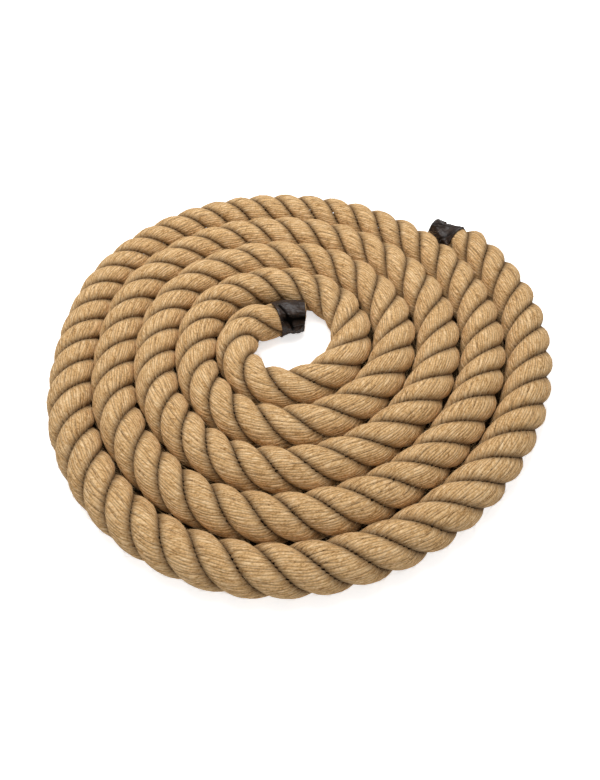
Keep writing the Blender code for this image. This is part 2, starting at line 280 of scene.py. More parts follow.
@dataclass(frozen=True)
class LaidRope:
    """The three-strand rope: how its strands turn round each other, and the shape of their cross-section.

    A strand is a tube bent into a helix and pressed flat against the two others, so it is broader than thick, and
    broadest at the hidden heels where it meets them. Its section, square to the rope, is a curve in polar
    coordinates about the rope's middle, kept within the strand's third of the round.
    """

    route: CoilRoute
    radius: float = 18.7 * MM
    thickness: float = 8.35 * MM
    breadth: float = 9.5 * MM
    shoulder: float = 0.02
    heel: float = 0.16
    heel_turn: float = math.radians(55)
    rest_height: float = 16.56 * MM
    lay_length: float = 79.9 * MM
    first_angle: float = math.radians(-65)
    lay_swings: tuple[tuple[float, float, float], ...] = (
        (3.26, math.radians(78), 0.413),
        (1.39, math.radians(24), 0.178),
        (0.83, math.radians(10), 0.679),
        (0.575, math.radians(10), 0.193),
    )
    loose_share: float = 0.22
    loose_reach: float = 110.0 * MM
    inner_squeeze: float = 0.24
    outer_squeeze: float = 0.38
    tape_width: float = 28.0 * MM
    tape_reach: float = 1.5 * MM
    tape_bite: float = 0.5 * MM
    end_ramp: float = 30.0 * MM
    outer_hold: float = 12.0 * MM
    outer_ramp: float = 38.0 * MM
    strand_overlap: float = 0.6 * MM
    core_reach: float = 14.0 * MM
    core_share: float = 0.97
    core_turn: float = math.radians(76)
    core_fade: float = math.radians(12)
    contact_give: float = math.radians(5)
    relief_angle: float = math.radians(56)
    relief_fade: float = math.radians(16)
    relief_crown: float = 0.3
    groove_depth: float = 0.27
    section_points: int = 1441
    yarns: int = 20
    yarn_width: float = 2.05 * MM
    yarn_slant: float = 0.97
    yarn_depth: float = 0.26 * MM
    yarn_lift: float = 0.2
    turn_clearance: float = 0.12 * MM
    floor_clearance: float = 0.10 * MM
    give: float = 1.1 * MM
    inner_cut: Slant = Slant(0.0, 3.1 * MM, 146)
    cut_depth: float = 26.0 * MM
    changes: tuple[Unevenness, ...] = (
        Unevenness("border", math.radians(3.0), 55 * MM, each_yarn=False),
        Unevenness("size", 0.018, 40 * MM, each_yarn=False),
        Unevenness("rise", 0.12 * MM, 6 * MM),
        Unevenness("shift", 0.24, 12 * MM),
        Unevenness("hollow", 0.35, 9 * MM),
        Unevenness("tone", 1.0, 30 * MM),
    )
    hollow_limits: tuple[float, float] = (0.2, 1.8)
    change_step: float = 2 * MM
    overrun: float = 30 * MM
    seed: int = 11

    def lay_angle(self, along: Array) -> Array:
        """How far the strands have turned round the rope.

        It is a turn each lay, less the twist lost near the inner end, plus the swings: cosines, each with the
        length of one swing, the strands' turn at its peak, and the length at which it peaks.

        Args:
            along: lengths from the inner end.

        Returns:
            The angles.
        """
        slack = self.loose_share * self.loose_reach * (1 - np.exp(-np.maximum(along, 0.0) / self.loose_reach))
        swung = sum(turned * np.cos(TURN * (along - peak) / length) for length, turned, peak in self.lay_swings)
        return self.first_angle + TURN / self.lay_length * (along - slack) + swung

    def squeeze(self, along: Array) -> Array:
        """The rope's size as a share of its full size, eased down to both taped ends.

        Args:
            along: lengths from the inner end.

        Returns:
            The shares.
        """
        inner = self.inner_squeeze * (1 - ease(along / (self.tape_width + self.end_ramp)))
        outer = self.outer_squeeze * (1 - ease((self.route.length - along - self.outer_hold) / self.outer_ramp))
        return 1 - inner - outer

    def height(self, along: Array) -> Array:
        """The middle's height, eased from the resting rope to the taped ends, which lie on their tape.

        Args:
            along: lengths from the inner end.

        Returns:
            The heights.
        """
        taped = 1 - ease((self.route.from_end(along) - self.tape_width) / self.end_ramp)
        on_tape = self.squeeze(along) * (self.radius - self.tape_bite) + self.tape_reach
        return self.rest_height + (on_tape - self.rest_height) * taped

    @property
    def middle_radius(self) -> float:
        """Distance of a strand's middle from the rope's."""
        return self.radius - self.thickness

    @property
    def yarn_shift(self) -> float:
        """Yarns that pass a point of the crown for each radian of lay: parallel to the rope, less a little."""
        return self.yarn_slant * self.radius / self.yarn_width

    def section(self, turn: Array) -> tuple[Array, Array, Array, Array]:
        """The strand's section by its parameter.

        The parameter runs round the tube's own ring, which leans with the lay. A point of that ring is turned back
        along the helix to the plane square to the rope, which adds the sine's second share to its angle.

        Args:
            turn: the parameter, 0 at the crown, a quarter turn at a side.

        Returns:
            Radius, angle from the strand's middle, and the slopes of both by the parameter.
        """
        rise = self.lay_length / TURN
        wire = math.hypot(rise, self.middle_radius)
        flat, steep = rise / wire, self.middle_radius / wire
        swell = 1 + self.shoulder * np.sin(2 * turn) ** 2
        swell_slope = 2 * self.shoulder * np.sin(4 * turn)
        heel = 1 + self.heel * ease((np.abs(turn) - self.heel_turn) / self.heel_turn)
        out = self.middle_radius + self.thickness * swell * np.cos(turn)
        aside = self.breadth * swell * heel * np.sin(turn)
        out_slope = self.thickness * (swell_slope * np.cos(turn) - swell * np.sin(turn))
        aside_slope = self.breadth * (swell_slope * np.sin(turn) + swell * np.cos(turn))
        radius = np.hypot(out, flat * aside)
        angle = np.arctan2(flat * aside, out) + aside * steep / rise
        radius_slope = (out * out_slope + flat**2 * aside * aside_slope) / radius
        angle_slope = flat * (out * aside_slope - aside * out_slope) / radius**2 + aside_slope * steep / rise
        return radius, angle, radius_slope, angle_slope

    @cached_property
    def yarn_table(self) -> tuple[Array, Array]:
        """Where the yarns lie round a strand.

        The yarns on the outer half are evenly spaced by the section's own length, and the few on the hidden inner
        half, where they cross steeply to the other side, share what is left.

        Returns:
            Yarn numbers round the strand, and the section's parameter there.
        """
        turn = np.linspace(-math.pi, math.pi, self.section_points)
        radius, angle, _, _ = self.section(turn)
        steps = np.hypot(np.diff(radius), np.diff(angle) * (radius[1:] + radius[:-1]) / 2)
        outer = np.abs((turn[1:] + turn[:-1]) / 2) < math.pi / 2
        left = self.yarns - steps[outer].sum() / self.yarn_width
        share = np.where(outer, steps / self.yarn_width, steps * left / steps[~outer].sum())
        return np.concatenate([[0.0], np.cumsum(share)]), turn

    @cached_property
    def unevenness(self) -> dict[str, Array]:
        """The slow random changes of strands and yarns.

        Returns:
            A table for each change, with a row for each strand or yarn, and the places of the columns. The depth
            of the hollows changes about 1, and is kept within its limits.
        """
        rng = np.random.default_rng(self.seed)
        reach = self.route.length + 2 * self.overrun
        tables = {"place": np.arange(0.0, reach, self.change_step)}
        for change in self.changes:
            rows = STRANDS * (self.yarns if change.each_yarn else 1)
            tables[change.name] = change.size * slow_noise(rng, rows, tables["place"], change.step, reach)
        tables["hollow"] = np.clip(1.0 + tables["hollow"], *self.hollow_limits)
        return tables

    def uneven(self, name: str, row: Array | int, along: Array) -> Array:
        """Reads one of the uneven tables, in straight steps between its places.

        Args:
            name: which change.
            row: the strand's number, or the yarn's.
            along: lengths from the inner end.

        Returns:
            The changes.
        """
        table = self.unevenness[name]
        last = table.shape[1] - 1.001  # just short of the last place, so that one always follows
        position = np.clip((along + self.overrun) / self.change_step, 0, last)
        before = position.astype(int)
        share = position - before
        return table[row, before] * (1 - share) + table[row, before + 1] * share

    def surface(self, number: int, along: Array, yarn: Array, proud: float = 0.0) -> dict[str, Array]:
        """Points on a strand's surface.

        A point's yarn number, turned on with the lay, gives the section's parameter. The yarn's round back rises
        by a cosine between two hollows. The section is then turned with the lay, squeezed at the ends, where its
        flanks close on the rope's core, and pressed on the floor and on the turns beside it.

        Args:
            number: which strand, from 0.
            along: lengths from the inner end.
            yarn: yarn numbers, whole in the hollows between yarns.
            proud: how much further out than the surface.

        Returns:
            The points, the depth in the groove from 0 to 1, the yarn's tone, and how deep its hollow is.
        """
        along, yarn = np.broadcast_arrays(along, yarn)
        # A whole number belongs to the yarn that starts there, whatever its rounding.
        which = number * self.yarns + np.floor(yarn + NUDGE).astype(int) % self.yarns
        nearest = number * self.yarns + np.round(yarn).astype(int) % self.yarns
        uneven_hollow = self.uneven("hollow", nearest, along)
        lay = self.lay_angle(along)
        shifted = yarn + self.uneven("shift", nearest, along) - self.yarn_shift * (lay - self.first_angle)
        turn = np.interp(np.mod(shifted, self.yarns), *self.yarn_table)
        radius, angle, radius_slope, angle_slope = self.section(turn)
        radius = self.middle_radius + (radius - self.middle_radius) * (1 + self.uneven("size", number, along))

        back = 0.5 - 0.5 * np.cos(TURN * yarn)
        shown = ease((self.relief_angle - np.abs(angle)) / self.relief_fade) * ease(np.cos(turn) / self.relief_crown)
        relief = self.yarn_lift * self.yarn_depth - self.yarn_depth * (1 - back) * uneven_hollow
        rise = (relief + self.uneven("rise", which, along) * back) * shown + proud
        span = np.hypot(radius_slope, radius * angle_slope) + NEVER_ZERO
        radius = radius + rise * radius * angle_slope / span
        angle = angle - rise * radius_slope / (span * radius)

        limit = math.pi / STRANDS + self.strand_overlap / radius
        angle = np.sign(angle) * pressed(np.abs(angle), limit, self.contact_give)
        before, after = (self.uneven("border", (number + side) % STRANDS, along) for side in (0, 1))
        angle = angle + (before + after) / 2 + (after - before) / 2 * angle / limit
        round_rope = lay + TURN * number / STRANDS + angle
        depth = ease((self.radius - radius) / (self.groove_depth * self.radius))
        core = 1 - ease(self.route.from_end(along) / self.core_reach)
        core = core * ease((np.abs(turn) - self.core_turn) / self.core_fade)
        radius = radius * self.squeeze(along) * (1 - self.core_share * core)

        place, tangent, normal = self.route.at(along)
        outwards, inwards = (room - self.turn_clearance for room in self.route.room(along))
        side = radius * np.cos(round_rope)
        side = np.where(side > 0, pressed(side, outwards, self.give), -pressed(-side, inwards, self.give))
        height = self.height(along)
        fall = pressed(radius * np.sin(round_rope), height - self.floor_clearance, self.give)
        slant = self.inner_cut.at(round_rope) * (1 - ease(along / self.cut_depth))
        points = place + side[..., None] * normal + (height - fall)[..., None] * UP + slant[..., None] * tangent
        tone = self.uneven("tone", which, along)
        return {"points": points, "depth": depth, "tone": tone, "hollow": uneven_hollow}


def make_mesh(name: str, points: Array, faces: Array, shading: Shading = Shading.SMOOTH) -> Mesh:
    """Puts points and faces of one size into a new mesh.

    Args:
        name: the mesh's name.
        points: coordinates, with a last axis of 3.
        faces: one row of point numbers for each face.
        shading: smooth or faceted.

    Returns:
        The mesh.
    """
    mesh = bpy.data.meshes.new(name)
    mesh.vertices.add(points.size // 3)
    mesh.vertices.foreach_set("co", points.astype(np.float32).ravel())
    mesh.loops.add(faces.size)
    mesh.loops.foreach_set("vertex_index", faces.astype(np.int32).ravel())
    mesh.polygons.add(len(faces))
    mesh.polygons.foreach_set("loop_start", np.arange(0, faces.size, faces.shape[1], dtype=np.int32))
    mesh.polygons.foreach_set("use_smooth", np.full(len(faces), shading is Shading.SMOOTH))
    mesh.update(calc_edges=True)
    mesh.validate()
    return mesh


def tube_faces(rings: int, around: int, tubes: int = 1) -> Array:
    """Four-cornered faces of tubes, each a grid of rings that close on themselves, wound to face outwards.

    Args:
        rings: how many rings a tube has.
        around: how many points a ring has.
        tubes: how many tubes.

    Returns:
        One row of point numbers for each face.
    """
    index = np.arange(tubes * rings * around).reshape(tubes, rings, around)
    after = np.roll(index, -1, axis=2)
    return np.stack([index[:, :-1], after[:, :-1], after[:, 1:], index[:, 1:]], axis=-1).reshape(-1, 4)


def write_attribute(mesh: Mesh, name: str, values: Array) -> None:
    """Adds one number a point to a mesh."""
    mesh.attributes.new(name, "FLOAT", "POINT").data.foreach_set("value", values.astype(np.float32).ravel())


def write_map(mesh: Mesh, name: str, across: list[Array], upwards: list[Array]) -> None:
    """Adds a UV map to a grid.

    Args:
        mesh: the mesh.
        name: the map's name.
        across: for each of a face's four corners, its first coordinate, by ring and by place round the ring.
        upwards: the second coordinates.
    """
    spots = [np.stack(np.broadcast_arrays(*corner), axis=-1) for corner in zip(across, upwards)]
    mesh.uv_layers.new(name=name).data.foreach_set("uv", np.stack(spots, axis=2).astype(np.float32).ravel())


def add_object(name: str, data: bpy.types.ID) -> Piece:
    """Puts a mesh, a camera or a lamp into the scene.

    Args:
        name: the object's name.
        data: what it shows.

    Returns:
        The object.
    """
    piece = bpy.data.objects.new(name, data)
    bpy.context.scene.collection.objects.link(piece)
    return piece


def show(name: str, mesh: Mesh, material: Material) -> Piece:
    """Makes a mesh a shown piece that rides on the part.

    Args:
        name: the piece's name.
        mesh: its mesh.
        material: its material.

    Returns:
        The piece.
    """
    piece = add_object(name, mesh)
    mesh.materials.append(material)
    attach(piece, "root")
    LOG.info("%s: %d faces", name, len(mesh.polygons))
    return piece


def fill(node: Node, values: dict[str | int, object]) -> None:
    """Links or sets a node's inputs.

    Args:
        node: the node.
        values: what the inputs get, by name or number: a socket is linked, and any other value is set.
    """
    for name, value in values.items():
        if isinstance(value, Socket):
            node.id_data.links.new(value, node.inputs[name])
        else:
            node.inputs[name].default_value = value


def add_node(tree: Tree, kind: str, values: dict | None = None, output: int | str = 0, **settings: object) -> Socket:
    """Adds a node with its settings and links.

    Args:
        tree: the node tree.
        kind: the node's type, without the word ShaderNode.
        values: what its inputs get.
        output: the output that is wanted.
        settings: the node's own properties.

    Returns:
        The output.
    """
    node = tree.nodes.new("ShaderNode" + kind)
    for name, value in settings.items():
        setattr(node, name, value)
    fill(node, values or {})
    return node.outputs[output]


def new_material(name: str) -> tuple[Material, Tree, Node]:
    """Makes a node material.

    Args:
        name: the material's name.

    Returns:
        The material, its node tree and its own shader node.
    """
    material = bpy.data.materials.new(name)
    material.use_nodes = True
    return material, material.node_tree, material.node_tree.nodes["Principled BSDF"]


@dataclass(frozen=True)
class Streaks:
    """Noise drawn out along the fibres: the width and the length of a streak in millimetres, and its detail."""

    width: float
    length: float
    detail: float

    def add(self, tree: Tree, across: Socket, along: Socket) -> Socket:
        """Adds the noise.

        Args:
            tree: the node tree.
            across: millimetres round the strand.
            along: millimetres along it.

        Returns:
            The noise, from 0 to 1.
        """
        spot = add_node(tree, "CombineXYZ", {"X": across, "Y": along})
        scaled = add_node(tree, "Mapping", {"Vector": spot, "Scale": (1 / self.width, 1 / self.length, 1.0)})
        return add_node(tree, "TexNoise", {"Vector": scaled, "Scale": 1.0, "Detail": self.detail})


@dataclass(frozen=True)
class JuteYarn:
    """Natural jute, a bast fibre spun into soft single yarns.

    The fibres lie side by side and give each yarn fine pale and brown streaks with a dull silky glint. Bits of
    bark stay in it as dark flecks. Between yarns and in the grooves, where the fibres shade each other, dark brown
    is painted as shade.
    A jute fibre is 0.02 to 0.06 mm thick, too fine to show, so streaks are drawn as wide as a few fibres together.
    The pattern follows the yarn map, in millimetres. The weights are those of fibres, tone, patches and grain, and
    a grain is a clump of fibres of about 1.5 mm.
    """

    pale: str = "#F3D2A3"
    usual: str = "#D5AB74"
    brown: str = "#986F3E"
    bark: str = "#4E3319"
    # painted shade in the hollows between yarns
    hollow: str = "#5A3A1A"
    # painted shade in the grooves between strands
    groove_shade: str = "#492F16"
    roughness: float = 0.82
    specular: float = 0.25
    sheen: float = 0.22
    sheen_roughness: float = 0.45
    yarn_width: float = 2.05
    fibre_slant: float = 0.30
    yarns_apart: float = 900.0
    fibres: Streaks = Streaks(0.22, 4.0, 3.0)
    bundles: Streaks = Streaks(0.85, 14.0, 2.0)
    patches: Streaks = Streaks(2.8, 14.0, 2.0)
    flecks: Streaks = Streaks(0.5, 2.4, 1.0)
    grains_per_metre: float = 650.0
    weights: tuple[float, ...] = (0.55, 0.06, 0.75, 0.9)
    brown_sum: float = 1.23
    pale_sum: float = 1.97
    usual_place: float = 0.42
    hollow_back: float = 0.62
    hollow_shade_share: float = 0.95
    deep_hollow_shade_share: float = 0.2
    hollow_depth: float = 0.8
    fleck_edge: tuple[float, float] = (0.72, 0.78)
    groove_shade_start: float = 0.05
    groove_shade_share: float = 0.85
    back_height: float = 1.6
    bump_strength: float = 0.9
    bump_height: float = 0.16 * MM

    def build(self, yarns_drawn: bool) -> Material:
        """Builds the material.

        The colour goes from brown to pale by the sum of bundles and, by their weights, fibres, tone, patches and
        grain. Painted shade in the hollows between yarns, flecks and painted shade in the grooves are then mixed in.
        The bump adds fibres to the yarn's back.

        Args:
            yarns_drawn: whether the piece has the yarn map, or is made of loose fibres with one tone.

        Returns:
            The material.
        """
        material, tree, shader = new_material("spun_jute_yarn" if yarns_drawn else "loose_jute_fibre")
        fill(shader, {"Roughness": self.roughness, "Specular IOR Level": self.specular, "Sheen Weight": self.sheen})
        fill(shader, {"Sheen Roughness": self.sheen_roughness, "Sheen Tint": linear(self.pale)})
        tone = add_node(tree, "Attribute", output="Fac", attribute_name="tone")
        if not yarns_drawn:
            fill(shader, {"Base Color": self.shade(tree, tone, 0.5)})
            return material
        yarn = add_node(tree, "SeparateXYZ", {"Vector": add_node(tree, "UVMap", uv_map="yarn")})
        along = yarn.node.outputs["Y"]
        number = add_node(tree, "Math", {0: yarn}, operation="FLOOR")
        chance = add_node(tree, "TexWhiteNoise", {"W": number}, noise_dimensions="1D")
        apart = add_node(tree, "Math", {0: chance, 1: self.yarns_apart, 2: along}, operation="MULTIPLY_ADD")
        lean = add_node(tree, "Math", {0: along, 1: self.fibre_slant}, operation="MULTIPLY")
        across = add_node(tree, "Math", {0: yarn, 1: self.yarn_width, 2: lean}, operation="MULTIPLY_ADD")
        fibres, bundles, patches, flecks = (
            streaks.add(tree, across, apart) for streaks in (self.fibres, self.bundles, self.patches, self.flecks)
        )
        place = add_node(tree, "TexCoord", output="Object")
        grain = add_node(tree, "TexNoise", {"Vector": place, "Scale": self.grains_per_metre, "Detail": 2.0})
        total = bundles
        for value, weight in zip((fibres, tone, patches, grain), self.weights):
            part = add_node(tree, "Math", {0: value, 1: weight}, operation="MULTIPLY", use_clamp=True)
            total = add_node(tree, "Math", {0: total, 1: part}, operation="ADD")
        share = add_node(tree, "MapRange", {"Value": total, "From Min": self.brown_sum, "From Max": self.pale_sum})
        colour = self.shade(tree, share, self.usual_place)

        depth = add_node(tree, "Attribute", output="Fac", attribute_name="depth")
        narrow = add_node(tree, "Attribute", output="Fac", attribute_name="hollow")
        # The yarn's round back: 1 less twice the distance from the yarn's middle.
        back = yarn
        steps = {"FRACT": {}, "SUBTRACT": {1: 0.5}, "ABSOLUTE": {}, "MULTIPLY_ADD": {1: -2.0, 2: 1.0}}
        for operation, numbers in steps.items():
            back = add_node(tree, "Math", {0: back, **numbers}, operation=operation)
        # Painted shade in the hollows between yarns, uneven along them and fainter deep in the grooves.
        hollow_shade_by_depth = {"From Max": self.hollow_depth, "To Min": self.hollow_shade_share, "To Max": self.deep_hollow_shade_share}
        low = {"Value": back, "From Min": self.hollow_back, "From Max": 0.0}
        hollow = add_node(tree, "MapRange", low, interpolation_type="SMOOTHSTEP")
        for part in (narrow, add_node(tree, "MapRange", {"Value": depth} | hollow_shade_by_depth), bundles):
            hollow = add_node(tree, "Math", {0: hollow, 1: part}, operation="MULTIPLY", use_clamp=True)
        edge, full = self.fleck_edge
        bark = add_node(tree, "MapRange", {"Value": flecks, "From Min": edge, "From Max": full})
        # Painted shade that darkens the colour deeper into the grooves between strands.
        deep = {"Value": depth, "From Min": self.groove_shade_start, "To Max": self.groove_shade_share}
        groove_shade = add_node(tree, "MapRange", deep)
        # Painted shade of the hollows, the flecks and painted shade of the grooves go into the colour.
        # A Mix node's colours go in at 6 and 7 and come out at 2.
        for part, other in ((hollow, self.hollow), (bark, self.bark), (groove_shade, self.groove_shade)):
            colour = add_node(tree, "Mix", {0: part, 6: colour, 7: linear(other)}, 2, data_type="RGBA")
        height = add_node(tree, "Math", {0: back, 1: self.back_height, 2: fibres}, operation="MULTIPLY_ADD")
        bump = {"Strength": self.bump_strength, "Distance": self.bump_height, "Height": height}
        fill(shader, {"Base Color": colour, "Normal": add_node(tree, "Bump", bump)})
        return material

    def shade(self, tree: Tree, share: Socket, usual_place: float) -> Socket:
        """The fibres' colour by a share: brown at 0, then the usual colour, and pale at 1.

        Args:
            tree: the node tree.
            share: the share.
            usual_place: where the usual colour lies.

        Returns:
            The colour.
        """
        colour = add_node(tree, "ValToRGB", {"Fac": share})
        stops = colour.node.color_ramp.elements
        stops.new(usual_place)
        for stop, place, hue in zip(stops, (0.0, usual_place, 1.0), (self.brown, self.usual, self.pale)):
            stop.position, stop.color = place, linear(hue)
        return colour


@dataclass(frozen=True)
class BindingTape:
    """Black plasticised vinyl tape, stretched tight by hand.

    The film is glossy with a faint dusty bloom, in spots of about 4 mm, and its stretch marks, about 1 mm apart,
    break the reflections up. Under the folds black is painted as shade, and the sheen is turned down there as
    painted shade of the reflections.
    """

    film: str = "#2A1E17"
    bloom: str = "#5A463A"
    # painted black shade under the folds
    recess_shade: str = "#040302"
    spots_per_metre: float = 260.0
    marks_per_metre: float = 900.0
    least_dust: float = 0.5
    most_dust: float = 0.85
    bloom_share: float = 0.55
    sheen: float = 0.3
    # the sheen under the folds, turned down as painted shade of the reflections
    recess_sheen: float = 0.02
    clean: float = 0.3
    dusty: float = 0.8
    clean_roughness: float = 0.26
    dusty_roughness: float = 0.56
    bump_strength: float = 0.35
    bump_height: float = 0.12 * MM

    def build(self) -> Material:
        """Builds the material: two darks mixed by dust, painted black shade and less sheen under the folds, gloss by
        dust and stretch marks in the bump.

        Returns:
            The material.
        """
        material, tree, shader = new_material("stretched_vinyl_tape")
        spot = add_node(tree, "TexCoord", output="Object")
        dust = add_node(tree, "TexNoise", {"Vector": spot, "Scale": self.spots_per_metre, "Detail": 4.0})
        marks = add_node(tree, "TexNoise", {"Vector": spot, "Scale": self.marks_per_metre, "Detail": 2.0})
        recess_shade = add_node(tree, "Attribute", output="Fac", attribute_name="recess_shade")
        dusted = {"Value": dust, "From Min": self.least_dust, "From Max": self.most_dust, "To Max": self.bloom_share}
        gloss = {"Value": dust, "From Min": self.clean, "From Max": self.dusty}
        gloss |= {"To Min": self.clean_roughness, "To Max": self.dusty_roughness}
        colour = linear(self.film)
        # Dust, then painted black shade under the folds, go into the film's colour.
        for share, other in ((add_node(tree, "MapRange", dusted), self.bloom), (recess_shade, self.recess_shade)):
            colour = add_node(tree, "Mix", {0: share, 6: colour, 7: linear(other)}, 2, data_type="RGBA")
        # Under the folds the sheen is turned down, a painted shade of the reflections.
        sheen = add_node(tree, "MapRange", {"Value": recess_shade, "To Min": self.sheen, "To Max": self.recess_sheen})
        bump = {"Strength": self.bump_strength, "Distance": self.bump_height, "Height": marks}
        fill(shader, {"Base Color": colour, "Specular IOR Level": sheen})
        fill(shader, {"Roughness": add_node(tree, "MapRange", gloss), "Normal": add_node(tree, "Bump", bump)})
        return material


@dataclass(frozen=True)
class StudioPaper:
    """Seamless paper under the rope, matt and even, which the camera sees exposed to white around its shadows."""

    name: str = "seamless_white_paper"
    colour: str = "#FFFFFF"
    exposed: float = 0.62

    def build(self) -> Material:
        """Builds the material: a matt colour, with a glow that only the camera sees.

        Returns:
            The material.
        """
        material, tree, shader = new_material(self.name)
        seen = add_node(tree, "LightPath", output="Is Camera Ray")
        glow = add_node(tree, "Math", {0: seen, 1: self.exposed}, operation="MULTIPLY")
        fill(shader, {"Roughness": 1.0, "Specular IOR Level": 0.0, "Emission Strength": glow})
        fill(shader, {"Base Color": linear(self.colour), "Emission Color": linear(self.colour)})
        return material


@dataclass
class Strand:
    """One strand of the rope, a twisted bundle of yarns, from cut end to cut end."""

    rope: LaidRope
    number: int
    points_per_yarn: int = 3
    ring_step: float = 2.34 * MM
    cap_shares: tuple[float, ...] = (0.86, 0.6, 0.3)
    fray: float = 0.5 * MM
    atlas_rows: int = 8
    atlas_margin: float = 0.03

    @property
    def name(self) -> str:
        """The strand's name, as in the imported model."""
        return f"strand_{self.number + 1}"

    def cap(self, ring: Array, outwards: Array, rng: Rng) -> Array:
        """Rings that close a cut end: the last ring drawn in to its middle by shares, with frayed fibres.

        Args:
            ring: the last ring.
            outwards: the way out of the cut.
            rng: the source of the fibres' uneven length.

        Returns:
            The rings, from the last ring to the middle.
        """
        middle = ring.mean(axis=0)
        shares = np.array(self.cap_shares)[:, None, None]
        uneven = self.fray * rng.random((len(shares), len(ring), 1)) * outwards
        tip = np.broadcast_to(middle + self.fray * outwards, (1, *ring.shape))
        return np.concatenate([middle + (ring - middle) * shares + uneven, tip])

    def write_maps(self, mesh: Mesh, travelled: Array, yarn: Array) -> None:
        """Adds the yarn map, yarn numbers by millimetres, and the map of the baked picture.

        For the picture the strand's length is cut into rows, laid one over the other.

        Args:
            mesh: the strand's mesh.
            travelled: the length at each ring.
            yarn: yarn numbers round a ring, with the first point once more at the end.
        """
        low, high = yarn[:-1], yarn[1:]
        before, after = travelled[:-1, None] / MM, travelled[1:, None] / MM
        write_map(mesh, "yarn", [low, high, high, low], [before, before, after, after])
        in_row = -(-(len(travelled) - 1) // self.atlas_rows)
        row, place = np.divmod(np.arange(len(travelled) - 1)[:, None], in_row)
        before, after = (place + 0.5) / (in_row + 1), (place + 1.5) / (in_row + 1)
        height = self.atlas_margin + (1 - 2 * self.atlas_margin) * np.arange(len(yarn)) / (len(yarn) - 1)
        levels = (row + height) / self.atlas_rows
        low, high = levels[:, :-1], levels[:, 1:]
        write_map(mesh, "OFBake", [before, before, after, after], [low, high, high, low])

    def build(self, material: Material) -> Piece:
        """Builds the strand as a grid: rings square to the rope, whose points follow the yarns.

        Args:
            material: the yarn's material.

        Returns:
            The piece.
        """
        around = self.rope.yarns * self.points_per_yarn
        yarn = np.arange(around + 1) / self.points_per_yarn
        along = np.linspace(0.0, self.rope.route.length, int(self.rope.route.length / self.ring_step) + 1)
        made = self.rope.surface(self.number, along[:, None], yarn[None, :-1])
        _, tangent, _ = self.rope.route.at(along[[0, -1]])
        rng = np.random.default_rng(self.rope.seed + self.number)
        first = self.cap(made["points"][0], -tangent[0], rng)[::-1]
        last = self.cap(made["points"][-1], tangent[1], rng)
        rings = np.concatenate([first, made["points"], last])
        mesh = make_mesh(self.name, rings, tube_faces(len(rings), around))
        for name in ("depth", "tone", "hollow"):
            ends = np.zeros((len(first), around))
            write_attribute(mesh, name, np.concatenate([ends, made[name], ends]))
        self.write_maps(mesh, np.pad(along, len(first), "edge"), yarn)
        piece = show(self.name, mesh, material)
        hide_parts(self.name)
        return piece


@dataclass(frozen=True)
class Pleat:
    """A fold of the tape: a ridge between two spots, each given by share of the tape's width and angle in degrees."""

    start: tuple[float, float]
    end: tuple[float, float]
    height: float
    width: float


